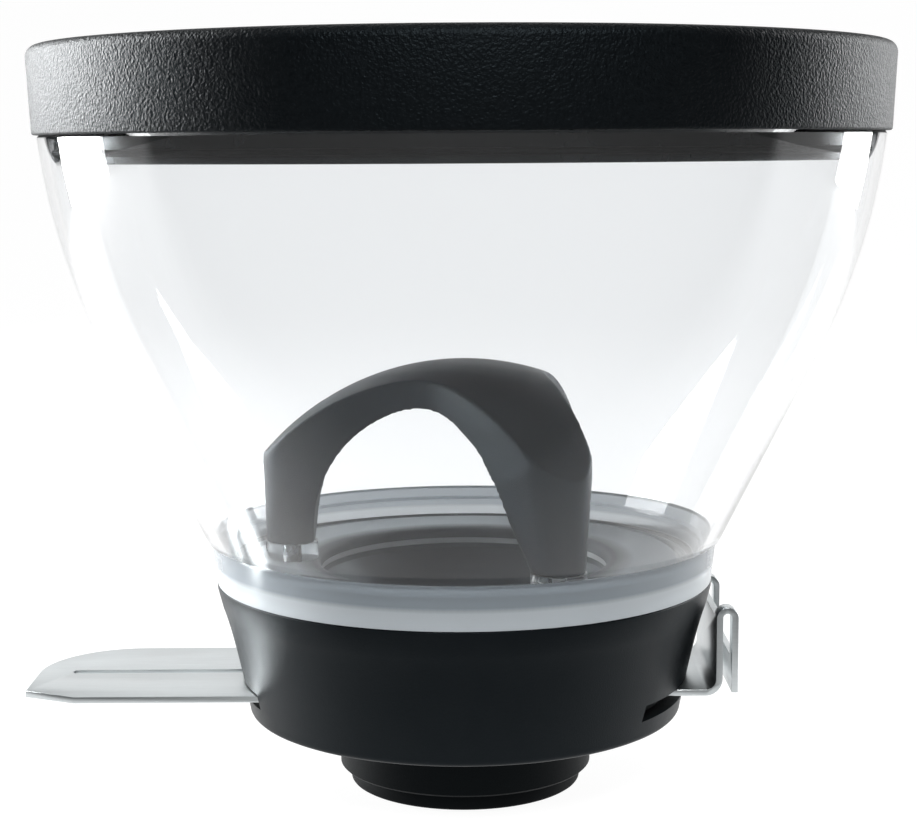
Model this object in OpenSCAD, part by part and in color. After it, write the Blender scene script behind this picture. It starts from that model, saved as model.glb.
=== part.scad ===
// Bean hopper of an on-demand coffee grinder: lid, clear bowl, finger guard, collar, slide gate, neck.
// The origin is the centre of the neck's lower end. +Z runs up the hopper's axis.
// The gate slides along X and its pull hook is on the +X side.

/* [Lid] */
// Outer radius of the lid at its top corner
lid_r = 105; // [104.4:0.1:125]
// Outer radius of the lid at its lower edge
lid_base_r = 104.2; // [103.4:0.1:104.4]
// Height of the lid's skirt
lid_h = 20.8; // [14:0.2:40]
// Radius of the lid's rounded top corner
lid_corner_r = 3; // [1:0.5:4]
// Thickness of the lid's top and skirt
lid_wall = 3; // [2:0.1:3.4]
// Depth that the plug reaches below the bowl's rim
plug_depth = 6.4; // [5:0.2:12]
// Thickness of the plug's wall
plug_wall = 2.2; // [1.8:0.1:3]
// Number of ribs inside the plug
plug_ribs = 12; // [6:1:24]

/* [Bowl] */
// Outer radius of the bowl at its rim
bowl_r = 103; // [98:0.1:103.2]
// Height of the bowl from the ring's top to the rim
bowl_h = 99.6; // [80:0.2:130]
// Wall of the bowl
bowl_wall = 2.4; // [2:0.1:4]
// Height of the straight cone above the ring
cone_h = 41; // [30:1:50]
// Outer radius where the straight cone begins
cone_top_r = 85.2; // [78:0.2:90]
// Outer radius of the bowl just above the ring
cone_base_r = 65; // [64:0.1:70]
// Height of the clear ring that sits on the collar
ring_h = 11.2; // [8:0.1:16]
// Inward step from the cone to the ring
ring_step = 1.2; // [0.6:0.1:2]
// Radius where the bowl's inside meets its floor
well_r = 57; // [55:0.1:58]
// Thickness of the bowl's floor
floor_t = 2.6; // [2:0.1:4]
// Radius of the floor's opening
floor_hole_r = 36.5; // [32:0.1:36.6]
// Length of the spigot that enters the collar
spigot_h = 6.8; // [4:0.2:9]
// Thickness of the spigot
spigot_t = 4.6; // [3:0.1:5]

/* [Finger guard] */
// Radius of the guard's domed top
dome_r = 66; // [62:0.5:72]
// Height of the guard from its feet to its crown
guard_h = 46.4; // [40:0.2:52]
// Reach of each arm from the axis
guard_reach = 50.7; // [50.4:0.1:51.6]
// Radius of each arm's rounded tip
tip_r = 9.3; // [8:0.1:10]
// Angle by which each arm widens towards the centre
arm_flare = 13; // [8:1:16]
// Radius that rounds the inner corner between two arms
bay_r = 25; // [10:1:30]
// Radius of the hollow under the dome
hollow_r = 38; // [36:0.2:38.4]
// Height of the hollow's rounded roof
hollow_h = 34.5; // [30:0.5:36]
// Thickness of the guard at its crown
crown_t = 4.8; // [3:0.2:8]
// Radius of each leg at its foot
foot_r = 6.4; // [5.6:0.1:6.6]
// Radius from the axis to the legs' feet and their screws
leg_at = 43.9; // [43.9:0.1:44.2]
// Radius of the clear bosses under the legs
boss_r = 6.7; // [6.6:0.1:6.8]
// Height of the clear bosses
boss_h = 4.3; // [3:0.1:6]

/* [Collar] */
// Outer radius of the collar's top edge
collar_top_r = 62.4; // [62:0.1:68]
// Outer radius of the collar's lower edge
collar_base_r = 54.9; // [54:0.1:60]
// Height of the collar
collar_h = 34; // [32:0.5:44]
// Wall of the collar at its top edge
collar_wall = 3.6; // [3:0.1:3.6]
// Height of the web's underside above the collar's lower edge
web_lift = 14.2; // [14.2:0.1:16]
// Thickness of the web across the collar
web_t = 3; // [2:0.1:4]
// Radius of the columns that carry the bowl's floor
column_r = 4; // [3.4:0.1:4.1]
// Height of the slots for the gate
slot_h = 4; // [3.6:0.1:5]
// Half width of the slot on the pull side
pull_slot_half = 36.3; // [35.8:0.1:38]

/* [Gate] */
// Thickness of the gate's steel sheet
sheet_t = 1.6; // [1:0.1:2]
// Height of the gate's underside above the collar's lower edge
gate_lift = 6.9; // [6:0.1:8]
// Radius of the throat hole in the gate
gate_hole_r = 23; // [20:0.5:23.5]
// Half width of the blade around the hole
blade_half = 35; // [33:0.5:35.2]
// Half length of the blade around the hole
blade_reach = 31; // [28:0.5:34]
// Half width of the tail with the slit
tail_half = 23.8; // [23:0.1:26]
// Distance from the axis to the tail's end
tail_end = 109; // [106:0.5:120]
// Half width of the pull tail and the hook
pull_half = 20.2; // [12:0.2:22]
// Distance from the axis to the upright's near face
upright_at = 61.9; // [61.8:0.1:68]
// Inside radius of the bend at the foot of the upright
bend_r = 2.6; // [1.6:0.1:3]
// Height of the upright above the gate's underside
upright_h = 22.2; // [16:0.2:22.4]
// Gap inside the hook's return bend
hook_gap = 2.2; // [1.6:0.1:4]
// Height of the solid bar below the hook's window
hook_bar_h = 8.6; // [5:0.1:10]
// Width of the two strips beside the hook's window
strip_w = 4.5; // [3:0.1:8]
// Travel of the gate from open to closed
travel = 53; // [49:0.5:53]
// Width of the slit that the stop pin runs in
slit_w = 3; // [2.4:0.1:4]
// Clearance above and below the gate
gate_gap = 0.2; // [0.1:0.05:0.3]

/* [Throat and neck] */
// Radius of the throat above the gate
throat_r = 22.5; // [18:0.5:22.5]
// Radius of the bore of the neck
neck_bore_r = 24; // [22.5:0.5:25]
// Outer radius of the neck
neck_r = 32; // [30.4:0.1:34]
// Outer radius of the rubber ring on the neck's tip
neck_tip_r = 29.3; // [28.4:0.1:29.8]
// Height of the rubber ring
neck_tip_h = 4.2; // [2:0.1:8]
// Thickness of the rubber ring
tip_seal_t = 1.8; // [1.2:0.1:2.4]
// Length of the neck below the collar
neck_drop = 19; // [12:0.5:40]
// Radius of the plates that guide the gate
plate_r = 51.4; // [50.8:0.1:51.6]
// Thickness of the guide plate above the gate
plate_t = 2; // [1.5:0.1:2.4]
// Wall of the funnel
funnel_wall = 2.2; // [1.8:0.1:3]
// Outer radius of the funnel's rim under the bowl's floor
funnel_rim_r = 39.5; // [38.6:0.1:39.6]
// Thickness of the gasket under the bowl's floor
gasket_t = 1.5; // [1:0.1:2.5]

/* [Fasteners] */
// Shank radius of the screws that clamp the gate's guides
stack_screw_r = 2; // [1.5:0.1:2.2]
// Distance of those screws from the YZ plane
stack_screw_x = 10; // [6:0.5:12]
// Distance of those screws from the XZ plane
stack_screw_y = 42; // [41:0.1:43]
// Shank radius of the long screws that clamp the guard, bowl and collar
long_screw_r = 1.5; // [1:0.1:1.6]
// Depth that the long screws reach into the legs
leg_grip = 12; // [6:0.5:14]
// Radius of the stop pin
stop_pin_r = 1.3; // [1:0.05:1.4]
// Distance of the stop pin from the axis
stop_pin_at = 46; // [45.5:0.1:46.5]

/* [Hidden] */
$fn = 96;
dome_fn = 180;
leg_fn = 32;
hex_fn = 6;
curve_steps = 14;
arm_angles = [180, 300, 60];
bay_angles = [0, 120, 240];

// Clearances and small fixed details
fit_gap = 0.4;
hole_gap = 0.1;
seat_gap = 0.2;
cut = 1;
skin = 0.1;
seal_t = 1.6;
seal_proud = 0.6;
rib_t = 1.6;
rib_depth = 6;
edge_r = 1.5;
bay_half = 60;
head_h_ratio = 1.5;
head_r_ratio = 1.75;
socket_r_ratio = 0.9;
washer_ratio = 2.2;
nut_ratio = 2;
web_hole_gap = 3.5;
leg_root_in = 6.5;
floor_drop = 1.7;
ring_lead = 0.6;
plug_gap = 1.6;
belly_at = 0.7;
belly_out = 0.6;
flare_low = 0.62;
flare_high = 0.82;
flare_in = 3.8;
flare_out = 1.2;
collar_lip_h = 1.4;
funnel_rim_t = 1.5;
funnel_low_h = 3.4;
washer_t = 0.8;
nut_h = 3;
pin_socket = 4;
boss_wall = 2;
head_room = 4.2;
notch_w = 6;
notch_h = 5;
notch_depth = 1.2;
notch_lift = 3.4;
tail_corner_x = 13;
tail_corner_y = 6;
slot_drop = 1.8;

// Levels, from the neck's tip upwards
z_collar = neck_drop;
z_gate = z_collar + gate_lift;
z_bed = z_gate - gate_gap;
z_plate = z_gate + sheet_t + gate_gap;
z_web = z_collar + web_lift;
z_web_top = z_web + web_t;
z_ring = z_collar + collar_h;
z_ring_top = z_ring + ring_h;
z_rim = z_ring_top + bowl_h;
z_lid_top = z_rim + lid_h;
z_floor = z_ring + floor_drop;
z_floor_top = z_floor + floor_t;
z_foot = z_floor_top + boss_h;
z_crown = z_foot + guard_h;
z_gasket = z_floor - gasket_t;
z_spigot = z_ring - spigot_h;

// Sizes that follow from the ones above
spigot_r = collar_top_r - collar_wall - seat_gap;
spigot_in_r = spigot_r - spigot_t;
shell_in_r = plate_r + seat_gap;
z_stack = z_collar + head_room;
funnel_hole_r = throat_r + funnel_wall + web_hole_gap;
plug_r = bowl_r - bowl_wall - plug_gap;
skirt_in_r = lid_base_r - lid_wall;
funnel_mouth_r = floor_hole_r + seat_gap;
gasket_r = spigot_in_r - fit_gap;
rail_in = blade_half + fit_gap;
tail_slot_half = tail_half + fit_gap;
arm_tip_at = guard_reach - tip_r;
z_tip = z_crown - dome_r + sqrt(dome_r * dome_r - guard_reach * guard_reach);
z_hollow = z_crown - crown_t - hollow_h;
z_hook_top = z_gate + upright_h;
z_slot = z_gate - slot_drop;
hook_r = hook_gap / 2 + sheet_t;
slit_left = -(stop_pin_at + travel);

function curve(a, c, b) = [for (i = [0 : curve_steps])
    let (t = i / curve_steps) (1 - t) * (1 - t) * a + 2 * t * (1 - t) * c + t * t * b];

function line_x(a, b, z) = a.x + (b.x - a.x) * (z - a.y) / (b.y - a.y);

// The bowl's side leaves the straight cone on its own line
cone_a = [cone_top_r, z_ring_top + cone_h];
cone_b = [cone_base_r, z_ring_top];
belly_z = z_ring_top + belly_at * bowl_h;
belly = [line_x(cone_a, cone_b, belly_z) + belly_out, belly_z];

module ring(r_out, r_in, h) {
    difference() {
        cylinder(r = r_out, h = h);
        translate([0, 0, -cut]) cylinder(r = r_in, h = h + 2 * cut);
    }
}

module around(angles, r, z) {
    for (a = angles) rotate(a) translate([r, 0, z]) children();
}

module at_stack_screws(z) {
    for (x = [-1, 1], y = [-1, 1]) translate([x * stack_screw_x, y * stack_screw_y, z]) children();
}

// A screw that points up from z = 0, with a socket in the head below it
module screw(r, length) {
    head = head_h_ratio * r;
    difference() {
        union() {
            translate([0, 0, -head]) cylinder(r = head_r_ratio * r, h = head);
            cylinder(r = r, h = length);
        }
        translate([0, 0, -head - cut]) cylinder(r = socket_r_ratio * r, h = head / 2 + cut, $fn = hex_fn);
    }
}

module lid_cap() {
    color([0.09, 0.09, 0.1]) difference() {
        rotate_extrude() polygon(concat(
            [[0, z_lid_top - lid_wall], [0, z_lid_top]],
            curve([lid_r - lid_corner_r, z_lid_top], [lid_r, z_lid_top], [lid_r, z_lid_top - lid_corner_r]),
            [[lid_base_r, z_rim], [skirt_in_r, z_rim], [skirt_in_r, z_lid_top - lid_wall]]));
        translate([-lid_r - cut, -notch_w / 2, z_rim + notch_lift])
            cube([notch_depth + cut, notch_w, notch_h]);
    }
}

module lid_plug() {
    low = z_rim - plug_depth;
    wall_h = z_lid_top - lid_wall - low;
    color([0.14, 0.14, 0.15]) {
        difference() {
            translate([0, 0, low]) ring(plug_r, plug_r - plug_wall, wall_h);
            translate([0, 0, low + seal_t]) ring(plug_r + cut, plug_r - seal_t / 2, seal_t);
        }
        for (i = [0 : plug_ribs - 1]) rotate(i * 360 / plug_ribs)
            translate([plug_r - plug_wall - rib_depth, -rib_t / 2, z_rim])
                cube([rib_depth + skin, rib_t, lid_h - lid_wall]);
    }
}

module lid_seal() {
    color([0.3, 0.3, 0.32]) translate([0, 0, z_rim - plug_depth + seal_t + skin / 2])
        ring(plug_r + seal_proud, plug_r - seal_t / 2 + skin, seal_t - skin);
}

module bowl_shell() {
    in_a = cone_a - [bowl_wall, 0];
    rotate_extrude() polygon(concat(
        curve([bowl_r, z_rim], belly, cone_a),
        [cone_b, [cone_base_r - ring_step, z_ring_top - ring_lead], [collar_top_r, z_ring]],
        [[spigot_r, z_ring], [spigot_r, z_spigot], [spigot_in_r, z_spigot], [spigot_in_r, z_floor]],
        [[floor_hole_r, z_floor], [floor_hole_r, z_floor_top - floor_t / 2],
         [floor_hole_r + floor_t / 2, z_floor_top]],
        [[well_r, z_floor_top], [line_x(cone_a, cone_b, z_foot) - bowl_wall, z_foot]],
        curve(in_a, belly - [bowl_wall, 0], [bowl_r - bowl_wall, z_rim])));
}

module bowl() {
    color([0.8, 0.87, 0.9, 0.35]) difference() {
        union() {
            bowl_shell();
            around(arm_angles, leg_at, z_floor) cylinder(r = boss_r, h = z_foot - z_floor);
        }
        around(arm_angles, leg_at, z_floor - cut)
            cylinder(r = long_screw_r + hole_gap, h = z_foot - z_floor + 2 * cut);
    }
}

// Plan of the guard: three tapered arms with round tips and rounded inner corners
module guard_plan() {
    side_x = arm_tip_at + tip_r * sin(arm_flare);
    side_y = tip_r * cos(arm_flare);
    root_y = side_y + side_x * tan(arm_flare);
    bay_at = root_y * cos(arm_flare) / sin(bay_half + arm_flare);
    run = bay_r / tan(bay_half + arm_flare);
    run_x = run * cos(bay_half + arm_flare);
    run_y = run * sin(bay_half + arm_flare);
    for (a = arm_angles) rotate(a) {
        translate([arm_tip_at, 0]) circle(r = tip_r);
        polygon([[0, root_y], [side_x, side_y], [side_x, -side_y], [0, -root_y]]);
    }
    for (a = bay_angles) rotate(a) difference() {
        polygon([[bay_at - cut, 0], [bay_at + run_x, run_y], [bay_at + run_x, -run_y]]);
        translate([bay_at + bay_r / sin(bay_half + arm_flare), 0]) circle(r = bay_r);
    }
}

// A leg that widens from its round foot to the end of its arm
module leg() {
    inner_x = hollow_r - leg_root_in;
    inner_y = tip_r * cos(arm_flare) + (arm_tip_at + tip_r * sin(arm_flare) - inner_x) * tan(arm_flare);
    hull() {
        translate([leg_at, 0, z_foot]) cylinder(r = foot_r, h = skin, $fn = leg_fn);
        translate([arm_tip_at, 0, z_tip]) cylinder(r = tip_r, h = skin, $fn = leg_fn);
        translate([inner_x, -inner_y, z_tip]) cube([skin, 2 * inner_y, skin]);
    }
}

module guard() {
    color([0.22, 0.24, 0.26]) difference() {
        union() {
            intersection() {
                translate([0, 0, z_tip]) linear_extrude(guard_h) guard_plan();
                translate([0, 0, z_crown - dome_r]) sphere(r = dome_r, $fn = dome_fn);
            }
            for (a = arm_angles) rotate(a) leg();
        }
        rotate_extrude() polygon(concat([[0, z_foot - cut], [hollow_r, z_foot - cut]],
            [for (i = [0 : curve_steps]) let (a = 90 * i / curve_steps)
                [hollow_r * cos(a), z_hollow + hollow_h * sin(a)]]));
        around(arm_angles, leg_at, z_foot - cut) cylinder(r = long_screw_r + hole_gap, h = leg_grip + 2 * cut);
    }
}

module long_screws() {
    length = washer_t + z_foot + leg_grip - z_web;
    color("silver") around(arm_angles, leg_at, z_web - washer_t) screw(long_screw_r, length);
}

module long_washers() {
    color("silver") around(arm_angles, leg_at, z_web - washer_t)
        ring(washer_ratio * long_screw_r, long_screw_r + hole_gap, washer_t);
}

module collar_shell() {
    lip = z_ring - collar_lip_h;
    rotate_extrude() polygon(concat(
        [[shell_in_r, z_collar], [collar_base_r - edge_r, z_collar]],
        curve([collar_base_r, z_collar + edge_r], [collar_base_r + flare_in, z_collar + flare_low * collar_h],
              [collar_top_r - flare_out, z_collar + flare_high * collar_h]),
        [[collar_top_r, lip], [collar_top_r, z_ring], [spigot_r + seat_gap, z_ring]],
        [[spigot_r + seat_gap, z_spigot - seat_gap], [shell_in_r, z_web_top], [funnel_hole_r, z_web_top]],
        [[funnel_hole_r, z_web], [shell_in_r, z_web]]));
}

module collar() {
    color([0.12, 0.12, 0.13]) difference() {
        union() {
            collar_shell();
            around(arm_angles, leg_at, z_web_top - skin) cylinder(r = column_r, h = z_floor - z_web_top + skin);
            at_stack_screws(z_plate + plate_t)
                cylinder(r = stack_screw_r + boss_wall, h = z_web - z_plate - plate_t + skin);
        }
        translate([0, -pull_slot_half, z_slot]) cube([collar_top_r, 2 * pull_slot_half, slot_h]);
        translate([-collar_top_r, -tail_slot_half, z_slot]) cube([collar_top_r, 2 * tail_slot_half, slot_h]);
        at_stack_screws(z_plate) cylinder(r = stack_screw_r + hole_gap, h = z_web_top - z_plate + cut);
        around(arm_angles, leg_at, z_web - cut)
            cylinder(r = long_screw_r + hole_gap, h = z_floor - z_web + 2 * cut);
    }
}

// Black funnel that stands on the guide plate inside the collar
module funnel() {
    low = z_plate + plate_t;
    neck_top = low + funnel_low_h;
    rim = z_gasket - funnel_rim_t;
    color([0.1, 0.1, 0.11]) rotate_extrude() polygon([
        [throat_r, low], [throat_r + funnel_wall, low], [throat_r + funnel_wall, neck_top],
        [funnel_mouth_r + funnel_wall / 2, rim], [funnel_rim_r, rim], [funnel_rim_r, z_gasket],
        [funnel_mouth_r, z_gasket], [funnel_mouth_r, rim], [throat_r, neck_top + funnel_wall]]);
}

// Pale disc between the bowl's floor and the funnel's rim, with the columns passing through it
module funnel_gasket() {
    color([0.92, 0.93, 0.93]) difference() {
        translate([0, 0, z_gasket]) ring(gasket_r, funnel_mouth_r, gasket_t);
        around(arm_angles, leg_at, z_gasket - cut) cylinder(r = column_r + seat_gap, h = gasket_t + 2 * cut);
    }
}

// Clamped between the rails and the collar's web, with a socket for the stop pin
module guide_plate() {
    color("silver") difference() {
        translate([0, 0, z_plate]) ring(plate_r, throat_r, plate_t);
        at_stack_screws(z_plate - cut) cylinder(r = stack_screw_r + hole_gap, h = plate_t + 2 * cut);
        translate([-stop_pin_at, 0, z_plate - cut]) cylinder(r = stop_pin_r + hole_gap, h = plate_t + 2 * cut);
    }
}

// Segment-shaped spacer beside the blade, on the side given by its sign
module rail(side) {
    color([0.2, 0.2, 0.21]) difference() {
        intersection() {
            translate([0, 0, z_bed]) cylinder(r = plate_r, h = z_plate - z_bed);
            translate([-plate_r, side > 0 ? rail_in : -rail_in - plate_r, z_bed - cut])
                cube([2 * plate_r, plate_r, z_plate - z_bed + 2 * cut]);
        }
        at_stack_screws(z_bed - cut) cylinder(r = stack_screw_r + hole_gap, h = z_plate - z_bed + 2 * cut);
    }
}

module rail_front() {
    rail(-1);
}

module rail_rear() {
    rail(1);
}

// Flat sheet of the gate, seen from above
module gate_plan() {
    difference() {
        union() {
            intersection() {
                translate([-tail_end, -tail_half]) square([tail_end, 2 * tail_half]);
                translate([tail_half - tail_end, 0]) union() {
                    circle(r = tail_half);
                    translate([-tail_half, -tail_half]) square([2 * tail_half, tail_half]);
                    translate([0, -tail_half]) square([tail_end, 2 * tail_half]);
                }
            }
            translate([-blade_reach, -blade_half]) square([2 * blade_reach, 2 * blade_half]);
            translate([0, -pull_half]) square([upright_at - bend_r, 2 * pull_half]);
        }
        circle(r = gate_hole_r);
        polygon([[-tail_end - cut, -tail_half - cut], [tail_corner_x - tail_end, -tail_half - cut],
                 [tail_corner_x - tail_end, -tail_half], [-tail_end, tail_corner_y - tail_half],
                 [-tail_end - cut, tail_corner_y - tail_half]]);
        for (x = [slit_left, -stop_pin_at]) translate([x, 0]) circle(d = slit_w);
        translate([slit_left, -slit_w / 2]) square([travel, slit_w]);
    }
}

// Quarter of a bent sheet, seen from its edge, with its centre at the origin
module bend(r_in, quadrant) {
    rotate(90 * quadrant) intersection() {
        difference() {
            circle(r = r_in + sheet_t);
            circle(r = r_in);
        }
        square(r_in + sheet_t);
    }
}

// The upright and its return bend, with X to the right and Z up
module hook_profile() {
    foot = z_gate + sheet_t + bend_r;
    turn = z_hook_top - hook_r;
    translate([upright_at - bend_r, foot]) bend(bend_r, 3);
    translate([upright_at, foot]) square([sheet_t, turn - foot]);
    for (q = [0, 1]) translate([upright_at + hook_r, turn]) bend(hook_gap / 2, q);
    translate([upright_at + sheet_t + hook_gap, z_gate + sheet_t / 2])
        square([sheet_t, turn - z_gate - sheet_t / 2]);
}

module gate() {
    window = pull_half - strip_w;
    window_low = z_gate + sheet_t / 2 + hook_bar_h;
    color([0.78, 0.8, 0.81]) difference() {
        union() {
            translate([0, 0, z_gate]) linear_extrude(sheet_t) gate_plan();
            translate([0, pull_half, 0]) rotate([90, 0, 0]) linear_extrude(2 * pull_half) hook_profile();
        }
        translate([upright_at - cut, -window, z_hook_top - hook_r])
            cube([2 * hook_r + 2 * cut, 2 * window, hook_r + cut]);
        translate([upright_at + sheet_t + hook_gap / 2, -window, window_low])
            cube([hook_r + cut, 2 * window, z_hook_top - window_low]);
    }
}

module stop_pin() {
    low = z_bed - pin_socket;
    color("silver") translate([-stop_pin_at, 0, low]) cylinder(r = stop_pin_r, h = z_plate + plate_t - low);
}

module neck() {
    color([0.13, 0.13, 0.14]) difference() {
        union() {
            cylinder(r = neck_tip_r - tip_seal_t, h = neck_tip_h + cut);
            translate([0, 0, neck_tip_h]) cylinder(r = neck_r, h = z_collar - neck_tip_h + cut);
            translate([0, 0, z_collar]) cylinder(r = plate_r, h = z_bed - z_collar);
        }
        translate([0, 0, -cut]) cylinder(r = neck_bore_r, h = z_bed + 2 * cut);
        at_stack_screws(z_collar - cut) cylinder(r = stack_screw_r + hole_gap, h = z_bed - z_collar + 2 * cut);
        at_stack_screws(z_collar - cut)
            cylinder(r = washer_ratio * stack_screw_r + hole_gap, h = head_room + cut);
        translate([-stop_pin_at, 0, z_bed - pin_socket])
            cylinder(r = stop_pin_r + hole_gap, h = pin_socket + cut);
    }
}

module neck_seal() {
    color([0.05, 0.05, 0.05]) ring(neck_tip_r, neck_tip_r - tip_seal_t, neck_tip_h);
}

module stack_screws() {
    length = washer_t + z_web_top + nut_h - z_stack;
    color("silver") at_stack_screws(z_stack - washer_t) screw(stack_screw_r, length);
}

module stack_washers() {
    color("silver") at_stack_screws(z_stack - washer_t)
        ring(washer_ratio * stack_screw_r, stack_screw_r + hole_gap, washer_t);
}

module stack_nuts() {
    color("silver") at_stack_screws(z_web_top) difference() {
        cylinder(r = nut_ratio * stack_screw_r, h = nut_h, $fn = hex_fn);
        translate([0, 0, -cut]) cylinder(r = stack_screw_r + hole_gap, h = nut_h + 2 * cut);
    }
}

lid_cap();
lid_plug();
lid_seal();
bowl();
guard();
collar();
funnel();
funnel_gasket();
long_screws();
long_washers();
guide_plate();
rail_front();
rail_rear();
gate();
stop_pin();
neck();
neck_seal();
stack_screws();
stack_washers();
stack_nuts();
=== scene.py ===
import math
import bpy
import bmesh
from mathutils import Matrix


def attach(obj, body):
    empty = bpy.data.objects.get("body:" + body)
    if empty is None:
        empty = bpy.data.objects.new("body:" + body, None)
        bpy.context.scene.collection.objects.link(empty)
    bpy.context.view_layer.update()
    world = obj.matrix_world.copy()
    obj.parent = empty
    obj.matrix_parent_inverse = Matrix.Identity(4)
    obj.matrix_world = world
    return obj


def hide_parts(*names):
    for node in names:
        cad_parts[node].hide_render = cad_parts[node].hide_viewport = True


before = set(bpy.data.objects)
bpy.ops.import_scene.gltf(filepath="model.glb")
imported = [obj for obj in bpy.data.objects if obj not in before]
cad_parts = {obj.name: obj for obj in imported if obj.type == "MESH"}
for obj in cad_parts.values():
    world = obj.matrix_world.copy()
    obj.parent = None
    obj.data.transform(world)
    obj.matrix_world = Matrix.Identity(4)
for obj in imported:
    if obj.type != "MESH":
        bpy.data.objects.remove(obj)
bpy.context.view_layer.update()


def deselectAll():
    if bpy.context.object and bpy.context.object.mode != "OBJECT":
        bpy.ops.object.mode_set(mode="OBJECT")
    bpy.ops.object.select_all(action="DESELECT")


def activate(obj):
    deselectAll()
    obj.select_set(True)
    bpy.context.view_layer.objects.active = obj


def applyAll(obj):
    activate(obj)
    bpy.ops.object.transform_apply(location=True, rotation=True, scale=True)


def arc(cx, cz, radius, start, end, steps):
    points = []
    for i in range(steps + 1):
        a = math.radians(start + (end - start) * i / steps)
        points.append((cx + radius * math.cos(a), cz + radius * math.sin(a)))
    return points


def bezier(a, c, b, steps):
    points = []
    for i in range(steps + 1):
        t = i / steps
        points.append(tuple((1 - t) ** 2 * a[k] + 2 * t * (1 - t) * c[k] + t * t * b[k] for k in (0, 1)))
    return points


# a circle extruded from station to station, each one (radius, height)
def turn(name, stations, joined=True, capped=False, around=192):
    deselectAll()
    r, z = stations[0]
    bpy.ops.mesh.primitive_circle_add(vertices=around, radius=r, location=(0, 0, z))
    obj = bpy.context.object
    obj.name = name
    bpy.ops.object.mode_set(mode="EDIT")
    bpy.ops.mesh.select_all(action="SELECT")
    if capped:
        bpy.ops.mesh.edge_face_add()
        bpy.ops.mesh.select_all(action="SELECT")
    steps = stations[1:] + (stations[:1] if joined else [])
    for nextR, nextZ in steps:
        bpy.ops.mesh.extrude_region_move(TRANSFORM_OT_translate={"value": (0, 0, nextZ - z)})
        bpy.ops.transform.resize(value=(nextR / r, nextR / r, 1), center_override=(0, 0, nextZ))
        r, z = nextR, nextZ
    bpy.ops.mesh.select_all(action="SELECT")
    bpy.ops.mesh.remove_doubles(threshold=0.000004)
    bpy.ops.mesh.normals_make_consistent(inside=False)
    bpy.ops.object.mode_set(mode="OBJECT")
    applyAll(obj)
    return obj


def smooth(obj, angle=35):
    activate(obj)
    bpy.ops.object.shade_smooth_by_angle(angle=math.radians(angle))


def combine(obj, other, how):
    activate(obj)
    mod = obj.modifiers.new("cut", "BOOLEAN")
    mod.operation = how
    mod.solver = "EXACT"
    mod.object = other
    bpy.ops.object.modifier_apply(modifier=mod.name)
    bpy.data.objects.remove(other, do_unlink=True)


def evenOut(obj, size):
    activate(obj)
    mod = obj.modifiers.new("even", "REMESH")
    mod.mode = "VOXEL"
    mod.voxel_size = size
    bpy.ops.object.modifier_apply(modifier=mod.name)


def block(low, high):
    deselectAll()
    centre = [(a + b) / 2 for a, b in zip(low, high)]
    bpy.ops.mesh.primitive_cube_add(size=1, location=centre)
    obj = bpy.context.object
    obj.scale = [b - a for a, b in zip(low, high)]
    applyAll(obj)
    return obj


def post(x, y, low, high, r1, r2=None, sides=64):
    deselectAll()
    bpy.ops.mesh.primitive_cone_add(vertices=sides, radius1=r1, radius2=r2 or r1, depth=high - low,
                                    location=(x, y, (low + high) / 2))
    obj = bpy.context.object
    applyAll(obj)
    return obj


def place(obj, body, slotName, material, *nodes):
    obj.data.materials.clear()
    obj.data.materials.append(material)
    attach(obj, body)
    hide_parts(*nodes)


def nodesOf(name):
    mat = bpy.data.materials.new(name)
    mat.use_nodes = True
    return mat, mat.node_tree.nodes, mat.node_tree.links, mat.node_tree.nodes["Principled BSDF"]


def noise(nodes, links, coord, scale, detail=4, roughness=0.6):
    tex = nodes.new("ShaderNodeTexNoise")
    tex.inputs["Scale"].default_value = scale
    tex.inputs["Detail"].default_value = detail
    tex.inputs["Roughness"].default_value = roughness
    links.new(coord, tex.inputs["Vector"])
    return tex.outputs["Fac"]


def spread(nodes, links, value, low, high, outLow, outHigh):
    node = nodes.new("ShaderNodeMapRange")
    for key, number in zip(("From Min", "From Max", "To Min", "To Max"), (low, high, outLow, outHigh)):
        node.inputs[key].default_value = number
    links.new(value, node.inputs["Value"])
    return node.outputs["Result"]


def mixColours(nodes, links, factor, a, b):
    node = nodes.new("ShaderNodeMix")
    node.data_type = "RGBA"
    node.inputs["A"].default_value = (*a, 1)
    node.inputs["B"].default_value = (*b, 1)
    links.new(factor, node.inputs["Factor"])
    return node.outputs["Result"]


def setBump(nodes, links, shader, height, look):
    bump = nodes.new("ShaderNodeBump")
    bump.inputs["Strength"].default_value = look["bump"]
    bump.inputs["Distance"].default_value = look["bumpDepth"]
    links.new(height, bump.inputs["Height"])
    links.new(bump.outputs["Normal"], shader.inputs["Normal"])


def setRoughness(nodes, links, shader, cloud, look):
    low, high = look["rough"] - look["roughSpread"], look["rough"] + look["roughSpread"]
    links.new(spread(nodes, links, cloud, 0.3, 0.7, low, high), shader.inputs["Roughness"])


# moulded plastic: fine grain in the bump, soft blotches in the colour and the roughness
def plastic(name, look):
    mat, nodes, links, shader = nodesOf(name)
    coord = nodes.new("ShaderNodeTexCoord").outputs["Object"]
    grain = noise(nodes, links, coord, look["grain"], 2, 0.5)
    cloud = noise(nodes, links, coord, look["cloud"], 4, 0.55)
    blotch = spread(nodes, links, cloud, 0.3, 0.7, 0, 1)
    links.new(mixColours(nodes, links, blotch, look["dark"], look["light"]), shader.inputs["Base Color"])
    setRoughness(nodes, links, shader, cloud, look)
    setBump(nodes, links, shader, grain, look)
    shader.inputs["Specular IOR Level"].default_value = look["specular"]
    shader.inputs["Specular Tint"].default_value = (*coolShine, 1)
    return mat


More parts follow.
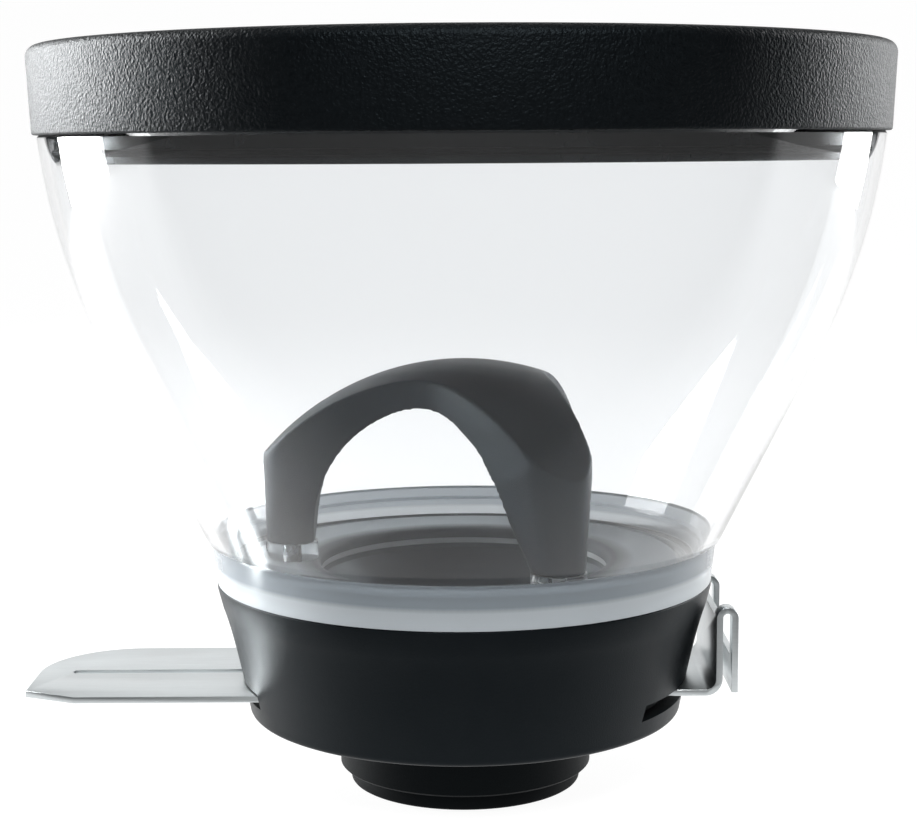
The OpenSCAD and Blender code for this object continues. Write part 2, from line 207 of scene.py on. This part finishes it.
def clear(name, look):
    mat, nodes, links, shader = nodesOf(name)
    coord = nodes.new("ShaderNodeTexCoord").outputs["Object"]
    cloud = noise(nodes, links, coord, look["cloud"], 3, 0.5)
    shader.inputs["Base Color"].default_value = (*look["tint"], 1)
    shader.inputs["Transmission Weight"].default_value = 1
    shader.inputs["IOR"].default_value = look["ior"]
    haze = spread(nodes, links, cloud, 0.35, 0.75, look["roughLow"], look["roughHigh"])
    links.new(haze, shader.inputs["Roughness"])
    setBump(nodes, links, shader, cloud, look)
    return mat


# milky plastic whose colour changes softly with the distance from the hopper's axis; the floor and ring
# looks use this fade for painted shade and painted light
def frosted(name, look):
    mat, nodes, links, shader = nodesOf(name)
    coord = nodes.new("ShaderNodeTexCoord").outputs["Object"]
    flatten = nodes.new("ShaderNodeVectorMath")
    flatten.operation = "MULTIPLY"
    flatten.inputs[1].default_value = (1, 1, 0)
    links.new(coord, flatten.inputs[0])
    length = nodes.new("ShaderNodeVectorMath")
    length.operation = "LENGTH"
    links.new(flatten.outputs["Vector"], length.inputs[0])
    fade = spread(nodes, links, length.outputs["Value"], look["edge"][0], look["edge"][1], 0, 1)
    links.new(mixColours(nodes, links, fade, look["shade"], look["pale"]), shader.inputs["Base Color"])
    cloud = noise(nodes, links, coord, look["cloud"], 3, 0.5)
    setRoughness(nodes, links, shader, cloud, look)
    shader.inputs["Transmission Weight"].default_value = look["clearness"]
    shader.inputs["IOR"].default_value = bowlLook["ior"]
    setBump(nodes, links, shader, cloud, look)
    return mat


# brushed sheet: streaks drawn out along one axis
def steel(name, look):
    mat, nodes, links, shader = nodesOf(name)
    coord = nodes.new("ShaderNodeTexCoord").outputs["Object"]
    stretch = nodes.new("ShaderNodeMapping")
    stretch.inputs["Scale"].default_value = look["stretch"]
    links.new(coord, stretch.inputs["Vector"])
    streak = noise(nodes, links, stretch.outputs["Vector"], look["streaks"], 6, 0.7)
    cloud = noise(nodes, links, coord, look["cloud"], 3, 0.5)
    links.new(mixColours(nodes, links, streak, look["dark"], look["light"]), shader.inputs["Base Color"])
    setRoughness(nodes, links, shader, cloud, look)
    shader.inputs["Metallic"].default_value = 1
    setBump(nodes, links, shader, streak, look)
    return mat


print("materials")
coolShine = (0.72, 0.9, 1)
finish = {
    "lid": {"dark": (0.0018, 0.0023, 0.0029), "light": (0.0036, 0.0044, 0.0053), "rough": 0.46,
            "roughSpread": 0.05, "grain": 1500, "cloud": 900, "bump": 0.8, "bumpDepth": 0.0004,
            "specular": 0.15},
    "neck": {"dark": (0.0025, 0.0028, 0.003), "light": (0.0035, 0.004, 0.0042), "rough": 0.5,
             "roughSpread": 0.05, "grain": 3000, "cloud": 70, "bump": 0.3, "bumpDepth": 0.0002,
             "specular": 0.08},
    "plug": {"dark": (0.002, 0.0023, 0.003), "light": (0.003, 0.0035, 0.0045), "rough": 0.25,
             "roughSpread": 0.06, "grain": 1800, "cloud": 80, "bump": 0.1, "bumpDepth": 0.0001,
             "specular": 0.3},
    "guard": {"dark": (0.026, 0.034, 0.042), "light": (0.032, 0.041, 0.05), "rough": 0.42,
              "roughSpread": 0.05, "grain": 2400, "cloud": 90, "bump": 0.25, "bumpDepth": 0.0002,
              "specular": 0.3},
    "collar": {"dark": (0.0042, 0.0054, 0.0066), "light": (0.006, 0.0074, 0.0088), "rough": 0.4,
               "roughSpread": 0.05, "grain": 3000, "cloud": 70, "bump": 0.3, "bumpDepth": 0.0002,
               "specular": 0.14},
    "funnel": {"dark": (0.05, 0.06, 0.068), "light": (0.06, 0.07, 0.08), "rough": 0.4,
               "roughSpread": 0.08, "grain": 2000, "cloud": 60, "bump": 0.15, "bumpDepth": 0.0001,
               "specular": 0.4},
    "rubber": {"dark": (0.0015, 0.0015, 0.0017), "light": (0.0025, 0.0025, 0.0027), "rough": 0.6,
               "roughSpread": 0.08, "grain": 1500, "cloud": 90, "bump": 0.2, "bumpDepth": 0.0001,
               "specular": 0.08},
    # gasket: pale grey, partly painted light: the pale disc under the bowl floor stands for light carried
    # inside the ring's lower band
    "gasket": {"dark": (0.6, 0.62, 0.63), "light": (0.68, 0.7, 0.71), "rough": 0.5, "roughSpread": 0.06,
               "grain": 1500, "cloud": 60, "bump": 0.1, "bumpDepth": 0.0001, "specular": 0.4},
}
bowlLook = {"tint": (0.965, 0.976, 0.985), "ior": 1.49, "cloud": 14, "roughLow": 0.0, "roughHigh": 0.02,
            "bump": 0.02, "bumpDepth": 0.0002}
frostLook = {"pale": (0.62, 0.66, 0.69), "shade": (0.5, 0.55, 0.58), "edge": (0.02, 0.021),
             "clearness": 0.25, "rough": 0.35, "roughSpread": 0.05, "cloud": 50, "bump": 0.15,
             "bumpDepth": 0.0002}
# bowl floor: pale is the frosted plastic; shade is a painted dark disc of shade round the hole, fading out
# across the edge radii, standing for the dark throat below
floorShadeLook = {"pale": (0.58, 0.63, 0.66), "shade": (0.07, 0.082, 0.093), "edge": (0.0385, 0.0435),
             "clearness": 0.1, "rough": 0.55, "roughSpread": 0.05, "cloud": 50, "bump": 0.1,
             "bumpDepth": 0.0002}
# ring band below the cone: both colours are painted light on part-clear plastic; pale is the painted grey
# upper band, a painted reflection of the collar, and shade is the painted bright lower band, painted light
# carried inside the ring
ringReflectionLook = {"pale": (0.42, 0.48, 0.53), "shade": (0.84, 0.91, 0.96), "edge": (0.06285, 0.063),
            "clearness": 0.42, "rough": 0.16, "roughSpread": 0.05, "cloud": 60, "bump": 0.1,
            "bumpDepth": 0.0002}
gateLook = {"dark": (0.52, 0.55, 0.56), "light": (0.72, 0.76, 0.77), "rough": 0.34, "roughSpread": 0.05,
            "stretch": (1, 30, 30), "streaks": 90, "cloud": 40, "bump": 0.05, "bumpDepth": 0.0001}
screwLook = {"dark": (0.5, 0.5, 0.52), "light": (0.66, 0.66, 0.68), "rough": 0.3, "roughSpread": 0.06,
             "stretch": (20, 20, 1), "streaks": 200, "cloud": 200, "bump": 0.05, "bumpDepth": 0.0001}
lidBlack = plastic("lid_black", finish["lid"])
plugBlack = plastic("plug_black", finish["plug"])
guardGrey = plastic("guard_grey", finish["guard"])
collarBlack = plastic("collar_black", finish["collar"])
neckBlack = plastic("neck_black", finish["neck"])
funnelBlack = plastic("funnel_black", finish["funnel"])
rubberBlack = plastic("rubber_black", finish["rubber"])
paleGasketAndLight = plastic("gasket_white", finish["gasket"])
clearPlastic = clear("clear_plastic", bowlLook)
frostedPlastic = frosted("frosted_plastic", frostLook)
floorShadePlastic = frosted("floor_painted_shade_plastic", floorShadeLook)
ringReflectionPlastic = frosted("ring_painted_reflection_plastic", ringReflectionLook)
gateSteel = steel("gate_steel", gateLook)
screwSteel = steel("screw_steel", screwLook)
cadFinish = {"funnel": funnelBlack, "funnel_gasket": paleGasketAndLight, "long_screws": screwSteel,
             "long_washers": screwSteel, "guide_plate": gateSteel, "rail_front": collarBlack,
             "rail_rear": collarBlack, "stop_pin": screwSteel, "stack_screws": screwSteel,
             "stack_washers": screwSteel, "stack_nuts": screwSteel}
for nodeName, mat in cadFinish.items():
    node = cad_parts[nodeName]
    node.data.materials.clear()
    node.data.materials.append(mat)

print("lid")
lid = {"topRadius": 0.105, "baseRadius": 0.1042, "base": 0.1638, "top": 0.1846, "wall": 0.003,
       "corner": 0.0026, "edge": 0.0006, "skirtInside": 0.1012, "notch": (0.1672, 0.1722),
       "notchWidth": 0.006, "notchDepth": 0.0012}
lidTop = lid["top"]
stations = [(0.03, lidTop), (0.07, lidTop), (0.098, lidTop)]
stations += arc(lid["topRadius"] - lid["corner"], lidTop - lid["corner"], lid["corner"], 90, 0, 8)
stations += arc(lid["baseRadius"] - lid["edge"], lid["base"] + lid["edge"], lid["edge"], 0, -90, 3)
stations += [(lid["skirtInside"], lid["base"]), (lid["skirtInside"], lidTop - lid["wall"]),
             (0.03, lidTop - lid["wall"])]
lidShell = turn("lid_shell", stations, joined=True, around=256)
activate(lidShell)
bpy.ops.object.mode_set(mode="EDIT")
mesh = bmesh.from_edit_mesh(lidShell.data)
bpy.ops.mesh.select_all(action="DESELECT")
for face in mesh.faces:
    centre = face.calc_center_median()
    face.select = abs(centre.x) < 0.03 and abs(centre.y) < 0.03 and math.hypot(centre.x, centre.y) < 0.0301
bmesh.update_edit_mesh(lidShell.data)
bpy.ops.mesh.delete(type="FACE")
bpy.ops.mesh.select_all(action="DESELECT")
bpy.ops.mesh.select_mode(type="EDGE")
for height in (lidTop, lidTop - lid["wall"]):
    mesh = bmesh.from_edit_mesh(lidShell.data)
    bpy.ops.mesh.select_all(action="DESELECT")
    for edge in mesh.edges:
        edge.select = edge.is_boundary and all(abs(v.co.z - height) < 0.00001 for v in edge.verts)
    bmesh.update_edit_mesh(lidShell.data)
    bpy.ops.mesh.edge_face_add()
bpy.ops.mesh.select_all(action="SELECT")
bpy.ops.mesh.normals_make_consistent(inside=False)
bpy.ops.mesh.select_mode(type="VERT")
bpy.ops.object.mode_set(mode="OBJECT")
combine(lidShell, block((-0.11, -lid["notchWidth"] / 2, lid["notch"][0]),
                        (lid["notchDepth"] - 0.105, lid["notchWidth"] / 2, lid["notch"][1])), "DIFFERENCE")
smooth(lidShell)
place(lidShell, "lid", "lid_black", lidBlack, "lid_cap")

plug = {"outside": 0.099, "inside": 0.0968, "low": 0.1574, "top": 0.1816, "groove": 0.0008,
        "grooveLow": 0.159, "grooveHigh": 0.1606, "edge": 0.0004, "ribs": 12, "ribLength": 0.0062,
        "ribWidth": 0.0016, "ribLow": 0.1638}
stations = [(plug["inside"], plug["top"]), (plug["outside"], plug["top"]),
            (plug["outside"], plug["grooveHigh"]),
            (plug["outside"] - plug["groove"], plug["grooveHigh"]),
            (plug["outside"] - plug["groove"], plug["grooveLow"]),
            (plug["outside"], plug["grooveLow"])]
stations += arc(plug["outside"] - plug["edge"], plug["low"] + plug["edge"], plug["edge"], 0, -90, 3)
stations += [(plug["inside"], plug["low"])]
lidPlug = turn("lid_plug_ring", stations)
ribs = []
for i in range(plug["ribs"]):
    rib = block((plug["inside"] - plug["ribLength"], -plug["ribWidth"] / 2, plug["ribLow"]),
                (plug["inside"] + 0.0003, plug["ribWidth"] / 2, plug["top"]))
    rib.rotation_euler[2] = math.tau * i / plug["ribs"]
    applyAll(rib)
    ribs.append(rib)
activate(lidPlug)
for rib in ribs:
    rib.select_set(True)
bpy.ops.object.join()
smooth(lidPlug)
place(lidPlug, "lid", "plug_black", plugBlack, "lid_plug")
seal = {"outside": 0.0996, "inside": 0.0983, "low": 0.15905, "high": 0.16055}
middle = (seal["low"] + seal["high"]) / 2
half = (seal["high"] - seal["low"]) / 2
stations = [(seal["inside"], seal["low"])]
stations += arc(seal["outside"] - half, middle, half, -90, 90, 8)
stations += [(seal["inside"], seal["high"])]
lidSeal = turn("lid_seal_ring", stations)
smooth(lidSeal)
place(lidSeal, "lid", "seal_rubber", rubberBlack, "lid_seal")

print("bowl")
bowl = {"rim": (0.103, 0.1638), "wall": 0.0024, "coneTop": (0.0852, 0.1052), "coneBase": (0.065, 0.0642),
        "belly": (0.10018, 0.13392), "ringTop": (0.0638, 0.0636), "ringFoot": (0.0624, 0.053),
        "spigot": (0.0586, 0.054), "spigotLow": 0.0462, "floorLow": 0.0547, "floorTop": 0.0573,
        "hole": 0.0365, "holeEdge": 0.0013, "well": 0.057, "fillet": 0.0045, "bossRadius": 0.0067,
        "bossTop": 0.0616, "bossAt": 0.0439, "screw": 0.0016, "frostBelow": 0.0549}
legAngles = (180, 300, 60)
wall = bowl["wall"]
coneTop, coneBase = bowl["coneTop"], bowl["coneBase"]
slope = (coneTop[0] - coneBase[0]) / (coneTop[1] - coneBase[1])
outer = bezier(bowl["rim"], bowl["belly"], coneTop, 20)
outer = [(bowl["rim"][0] - 0.0006, bowl["rim"][1])] + [(outer[0][0], outer[0][1] - 0.0006)] + outer[1:]
inner = [(r - wall, z) for r, z in bezier(coneTop, bowl["belly"], bowl["rim"], 20)]
wellTop = bowl["floorTop"] + bowl["fillet"]
wellOut = coneBase[0] + slope * (wellTop - coneBase[1]) - wall
stations = outer + [(coneBase[0] + 0.0002, coneBase[1] + 0.0004),
                    (coneBase[0] - 0.0002, coneBase[1] - 0.0002)]
stations += [bowl["ringTop"], (bowl["ringTop"][0] - 0.0003, bowl["ringTop"][1] - 0.0006), bowl["ringFoot"]]
stations += [(bowl["spigot"][0], bowl["ringFoot"][1]), (bowl["spigot"][0], bowl["spigotLow"]),
             (bowl["spigot"][1], bowl["spigotLow"]), (bowl["spigot"][1], bowl["floorLow"])]
stations += [(bowl["hole"], bowl["floorLow"])]
holeEdge = bowl["holeEdge"]
stations += arc(bowl["hole"] + holeEdge, bowl["floorTop"] - holeEdge, holeEdge, 180, 90, 6)
stations += bezier((bowl["well"] - 0.004, bowl["floorTop"]), (bowl["well"] + 0.0015, bowl["floorTop"]),
                   (wellOut, wellTop), 10)
stations += inner
bowlShell = turn("clear_bowl_shell", stations, around=256)
for angle in legAngles:
    a = math.radians(angle)
    x, y = bowl["bossAt"] * math.cos(a), bowl["bossAt"] * math.sin(a)
    combine(bowlShell, post(x, y, bowl["floorLow"] + 0.0004, bowl["bossTop"], bowl["bossRadius"]), "UNION")
    screwHole = post(x, y, bowl["floorLow"] - 0.001, bowl["bossTop"] + 0.001, bowl["screw"], sides=32)
    combine(bowlShell, screwHole, "DIFFERENCE")
smooth(bowlShell, 30)
place(bowlShell, "hopper", "clear_bowl", clearPlastic, "bowl")
bowlShell.data.materials.append(frostedPlastic)
bowlShell.data.materials.append(floorShadePlastic)
bowlShell.data.materials.append(ringReflectionPlastic)
activate(bowlShell)
bpy.ops.object.mode_set(mode="EDIT")
bpy.ops.mesh.select_mode(type="FACE")
# slot 1: frosted spigot; slot 2: bowl floor with its painted dark disc of shade round the hole; slot 3:
# ring band with its painted reflection and painted light
for index in (1, 2, 3):
    mesh = bmesh.from_edit_mesh(bowlShell.data)
    for face in mesh.faces:
        centre = face.calc_center_median()
        out = math.hypot(centre.x, centre.y)
        spigotFace = centre.z < bowl["frostBelow"] and out > bowl["spigot"][1] - 0.0005
        floorFace = centre.z < bowl["floorTop"] + 0.0001 and out < bowl["well"] - 0.002 and not spigotFace
        ringFace = out > bowl["spigot"][0] + 0.002 and centre.z < bowl["coneBase"][1] + 0.0001
        face.select = (spigotFace and not ringFace, floorFace, ringFace)[index - 1]
    bmesh.update_edit_mesh(bowlShell.data)
    bowlShell.active_material_index = index
    bpy.ops.object.material_slot_assign()
bpy.ops.mesh.select_mode(type="VERT")
bpy.ops.object.mode_set(mode="OBJECT")

print("finger guard")
guard = {"dome": 0.066, "crown": 0.108, "foot": 0.0616, "reach": 0.0507, "tip": 0.0093, "flare": 13,
         "bay": 0.025, "hollow": 0.038, "hollowHeight": 0.0345, "hollowAt": 0.0687, "legAt": 0.0439,
         "footRadius": 0.0064, "legRoot": 0.0315, "grain": 0.00046, "soften": 2}
tipAt = guard["reach"] - guard["tip"]
flare = math.radians(guard["flare"])
sideX = tipAt + guard["tip"] * math.sin(flare)
sideY = guard["tip"] * math.cos(flare)
rootY = sideY + sideX * math.tan(flare)
tipHeight = guard["crown"] - guard["dome"] + math.sqrt(guard["dome"] ** 2 - guard["reach"] ** 2)
bayAngle = math.radians(60) + flare
bayAt = rootY * math.cos(flare) / math.sin(bayAngle)
bayCentre = bayAt + guard["bay"] / math.sin(bayAngle)


def rotated(x, y, a):
    return (x * math.cos(a) - y * math.sin(a), x * math.sin(a) + y * math.cos(a))


# one third of the guard's plan, from the middle of a bay round the arm to the next bay
def armOutline():
    points = []
    for i in range(5):
        a = math.pi - (math.pi / 2 - bayAngle) * i / 4
        x, y = bayCentre + guard["bay"] * math.cos(a), guard["bay"] * math.sin(a)
        points.append(rotated(x, y, math.radians(-60)))
    for i in range(21):
        a = -math.pi / 2 + flare + (math.pi - 2 * flare) * i / 20
        points.append((tipAt + guard["tip"] * math.cos(a), guard["tip"] * math.sin(a)))
    points += [(x, -y) for x, y in reversed(points[1:5])]
    return points


outline = []
for angle in (60, 180, 300):
    outline += [rotated(x, y, math.radians(angle)) for x, y in armOutline()]
deselectAll()
bpy.ops.mesh.primitive_circle_add(vertices=len(outline), radius=0.05, fill_type="NGON", location=(0, 0, 0))
guardBody = bpy.context.object
guardBody.name = "guard_dome"
for vertex, (x, y) in zip(guardBody.data.vertices, outline):
    vertex.co = (x, y, tipHeight)
bpy.ops.object.mode_set(mode="EDIT")
bpy.ops.mesh.select_all(action="SELECT")
bpy.ops.mesh.extrude_region_move(TRANSFORM_OT_translate={"value": (0, 0, 0.03)})
bpy.ops.mesh.select_all(action="SELECT")
bpy.ops.mesh.normals_make_consistent(inside=False)
bpy.ops.object.mode_set(mode="OBJECT")
deselectAll()
bpy.ops.mesh.primitive_uv_sphere_add(segments=256, ring_count=128, radius=guard["dome"],
                                     location=(0, 0, guard["crown"] - guard["dome"]))
ball = bpy.context.object
applyAll(ball)
combine(guardBody, ball, "INTERSECT")
for angle in legAngles:
    innerX = guard["legRoot"]
    innerY = sideY + (sideX - innerX) * math.tan(flare)
    foot = post(guard["legAt"], 0, guard["foot"], guard["foot"] + 0.0002, guard["footRadius"])
    head = post(tipAt, 0, tipHeight - 0.0002, tipHeight, guard["tip"])
    root = block((innerX, -innerY, tipHeight - 0.0002), (innerX + 0.0002, innerY, tipHeight))
    activate(foot)
    head.select_set(True)
    root.select_set(True)
    bpy.ops.object.join()
    bpy.ops.object.mode_set(mode="EDIT")
    bpy.ops.mesh.select_all(action="SELECT")
    bpy.ops.mesh.convex_hull()
    bpy.ops.mesh.select_all(action="SELECT")
    bpy.ops.transform.translate(value=(0, 0, 0.00001))
    bpy.ops.object.mode_set(mode="OBJECT")
    foot.rotation_euler[2] = math.radians(angle)
    applyAll(foot)
    combine(guardBody, foot, "UNION")
hollow = [(guard["hollow"], guard["foot"] - 0.004)]
for i in range(30):
    a = math.radians(90 * i / 30)
    hollow.append((guard["hollow"] * math.cos(a), guard["hollowAt"] + guard["hollowHeight"] * math.sin(a)))
hollow.append((0.0004, guard["hollowAt"] + guard["hollowHeight"]))
core = turn("core", hollow, joined=False, capped=True)
evenOut(guardBody, guard["grain"])
combine(guardBody, core, "DIFFERENCE")
evenOut(guardBody, guard["grain"])
soften = guardBody.modifiers.new("soften", "SMOOTH")
soften.factor = 0.5
soften.iterations = guard["soften"]
bpy.ops.object.modifier_apply(modifier=soften.name)
bpy.ops.object.shade_smooth()
place(guardBody, "hopper", "guard_grey", guardGrey, "guard")

print("collar")
collar = {"top": (0.0624, 0.053), "base": (0.0549, 0.019), "edge": 0.0015, "topEdge": 0.0004,
          "lip": 0.0014, "socket": 0.0588, "socketLow": 0.046, "bore": 0.0516, "web": (0.0332, 0.0362),
          "webHole": 0.0282, "flareMiddle": (0.0587, 0.04008), "flareTop": (0.0612, 0.04688),
          "slot": (0.0241, 0.0281), "slotEnd": 0.07, "pullHalf": 0.0363, "tailHalf": 0.0242,
          "columnAt": 0.0439, "column": 0.004, "columnTop": 0.0546}
stations = [(collar["bore"], collar["base"][1])]
baseR, baseZ = collar["base"]
topR, topZ = collar["top"]
webLow, webHigh = collar["web"]
stations += arc(baseR - collar["edge"], baseZ + collar["edge"], collar["edge"], -90, 0, 5)
stations += bezier((baseR, baseZ + collar["edge"]), collar["flareMiddle"], collar["flareTop"], 18)[1:]
stations += [(topR, topZ - collar["lip"]), (topR, topZ - collar["topEdge"]),
             (topR - collar["topEdge"], topZ)]
stations += [(collar["socket"], topZ), (collar["socket"], collar["socketLow"]), (collar["bore"], webHigh),
             (collar["webHole"], webHigh), (collar["webHole"], webLow), (collar["bore"], webLow)]
collarShell = turn("collar_shell", stations, around=256)
slotLow, slotHigh = collar["slot"]
pullSlot = block((0, -collar["pullHalf"], slotLow), (collar["slotEnd"], collar["pullHalf"], slotHigh))
combine(collarShell, pullSlot, "DIFFERENCE")
tailSlot = block((-collar["slotEnd"], -collar["tailHalf"], slotLow), (0, collar["tailHalf"], slotHigh))
combine(collarShell, tailSlot, "DIFFERENCE")
for angle in legAngles:
    a = math.radians(angle)
    combine(collarShell, post(collar["columnAt"] * math.cos(a), collar["columnAt"] * math.sin(a),
                              webHigh - 0.0005, collar["columnTop"], collar["column"]), "UNION")
smooth(collarShell, 30)
place(collarShell, "hopper", "collar_black", collarBlack, "collar")

print("neck")
neck = {"bore": 0.024, "tip": 0.0275, "tipHeight": 0.0042, "radius": 0.032, "shoulder": 0.0005,
        "flange": 0.0514, "flangeLow": 0.019, "bed": 0.0257, "screwX": 0.01, "screwY": 0.042,
        "recess": (0.018, 0.0232), "recessRadius": 0.0045}
stations = [(neck["bore"], 0), (neck["tip"], 0), (neck["tip"], neck["tipHeight"])]
stations += [(neck["radius"] - neck["shoulder"], neck["tipHeight"]),
             (neck["radius"], neck["tipHeight"] + neck["shoulder"])]
stations += [(neck["radius"], neck["flangeLow"]), (neck["flange"], neck["flangeLow"]),
             (neck["flange"], neck["bed"]),
             (neck["bore"], neck["bed"])]
neckBody = turn("neck_body", stations)
for x in (-neck["screwX"], neck["screwX"]):
    for y in (-neck["screwY"], neck["screwY"]):
        combine(neckBody, post(x, y, *neck["recess"], neck["recessRadius"]), "DIFFERENCE")
smooth(neckBody, 30)
place(neckBody, "hopper", "neck_black", neckBlack, "neck")
ring = {"inside": 0.02752, "outside": 0.0293, "top": 0.0041, "edge": 0.0008}
roundAt = ring["outside"] - ring["edge"]
stations = [(ring["inside"], 0)]
stations += arc(roundAt, ring["edge"], ring["edge"], -90, 0, 4)
stations += arc(roundAt, ring["top"] - ring["edge"], ring["edge"], 0, 90, 4)
stations += [(ring["inside"], ring["top"])]
neckRing = turn("neck_tip_ring", stations)
smooth(neckRing, 60)
place(neckRing, "hopper", "tip_rubber", rubberBlack, "neck_seal")

print("gate")
gate = {"edge": 0.00022, "segments": 2}
deselectAll()
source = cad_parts["gate"]
gateSheet = source.copy()
gateSheet.data = source.data.copy()
gateSheet.name = "gate_sheet"
for key in list(gateSheet.keys()):
    del gateSheet[key]
bpy.context.scene.collection.objects.link(gateSheet)
gateSheet.parent = None
gateSheet.matrix_world = source.matrix_world
applyAll(gateSheet)
bpy.ops.object.mode_set(mode="EDIT")
bpy.ops.mesh.select_all(action="SELECT")
bpy.ops.mesh.remove_doubles(threshold=0.00001)
bpy.ops.mesh.dissolve_limited(angle_limit=math.radians(2))
bpy.ops.mesh.normals_make_consistent(inside=False)
bpy.ops.object.mode_set(mode="OBJECT")
bevel = gateSheet.modifiers.new("edge", "BEVEL")
bevel.width = gate["edge"]
bevel.segments = gate["segments"]
bevel.limit_method = "ANGLE"
bevel.angle_limit = math.radians(50)
bpy.ops.object.modifier_apply(modifier=bevel.name)
smooth(gateSheet, 30)
place(gateSheet, "gate", "gate_steel", gateSteel, "gate")

print("studio")
studio = {"floorSize": 6, "floorWidth": 2.8, "wallHeight": 4, "sweep": 1.6, "paper": (0.15, 0.15, 0.15),
          "glow": 0.95, "room": (0.6, 0.65, 0.7), "roomStrength": 0.05, "fadeFrom": -0.046,
          "fadeTo": -0.12, "frontGlow": 0.2, "cameraAt": (-0.0008, -0.493, 0.1611), "pitch": 82.2,
          "roll": 0.35, "lens": 77.46}
deselectAll()
bpy.ops.mesh.primitive_plane_add(size=studio["floorSize"], location=(0, 0, 0))
floor = bpy.context.object
floor.name = "floor"
floor.scale[0] = studio["floorWidth"] / studio["floorSize"]
applyAll(floor)
bpy.ops.object.mode_set(mode="EDIT")
mesh = bmesh.from_edit_mesh(floor.data)
bpy.ops.mesh.select_mode(type="EDGE")
bpy.ops.mesh.select_all(action="DESELECT")
for edge in mesh.edges:
    edge.select = all(v.co.y > 0.1 for v in edge.verts)
bmesh.update_edit_mesh(floor.data)
bpy.ops.mesh.extrude_region_move(TRANSFORM_OT_translate={"value": (0, 0, studio["wallHeight"])})
bpy.ops.mesh.select_mode(type="VERT")
bpy.ops.object.mode_set(mode="OBJECT")
curve = floor.modifiers.new("sweep", "BEVEL")
curve.width = studio["sweep"]
curve.segments = 24
bpy.ops.object.modifier_apply(modifier=curve.name)
bpy.ops.object.shade_smooth()
floorMat, nodes, links, shader = nodesOf("floor_paper")
coord = nodes.new("ShaderNodeTexCoord").outputs["Object"]
fibres = noise(nodes, links, coord, 40, 4, 0.6)
links.new(spread(nodes, links, fibres, 0.3, 0.7, 0.85, 0.95), shader.inputs["Roughness"])
shader.inputs["Base Color"].default_value = (*studio["paper"], 1)
shader.inputs["Specular IOR Level"].default_value = 0
shader.inputs["Emission Color"].default_value = (1, 1, 1, 1)
split = nodes.new("ShaderNodeSeparateXYZ")
links.new(coord, split.inputs["Vector"])
glow = spread(nodes, links, split.outputs["Y"], studio["fadeTo"], studio["fadeFrom"],
              studio["frontGlow"], studio["glow"])
links.new(glow, shader.inputs["Emission Strength"])
floor.data.materials.append(floorMat)


def softBox(name, location, aim, width, height, power):
    deselectAll()
    bpy.ops.object.light_add(type="AREA", location=location)
    lamp = bpy.context.object
    lamp.name = name
    lamp.data.shape = "RECTANGLE"
    lamp.data.size = width
    lamp.data.size_y = height
    lamp.data.energy = power
    direction = [b - a for a, b in zip(location, aim)]
    flat = math.hypot(direction[0], direction[1])
    lamp.rotation_euler = (math.atan2(flat, -direction[2]), 0, math.atan2(-direction[0], direction[1]))
    return lamp


boxes = {"leftBox": ((-0.8, 0.38, 0.3), (0, 0, 0.12), 0.4, 0.7, 26),
         "rightBox": ((0.75, 0.5, 0.3), (0, 0, 0.12), 0.3, 0.6, 6),
         "frontBox": ((0.1, -1.1, 1.0), (0, 0, 0.08), 0.3, 0.3, 13),
         "topBox": ((0, 0.3, 1.3), (0, 0.1, 0.1), 1.2, 0.8, 2)}
for boxName, (at, aim, width, height, power) in boxes.items():
    softBox(boxName, at, aim, width, height, power)
world = bpy.data.worlds.new("studio")
bpy.context.scene.world = world
world.use_nodes = True
world.node_tree.nodes["Background"].inputs["Color"].default_value = (*studio["room"], 1)
world.node_tree.nodes["Background"].inputs["Strength"].default_value = studio["roomStrength"]
bpy.context.scene.view_settings.view_transform = "Standard"

deselectAll()
bpy.ops.object.camera_add(location=studio["cameraAt"],
                          rotation=(math.radians(studio["pitch"]), math.radians(studio["roll"]), 0))
camera = bpy.context.object
camera.name = "camera"
camera.data.lens = studio["lens"]
camera.data.sensor_width = 36
camera.data.clip_start = 0.01
bpy.context.scene.camera = camera

print("finish")
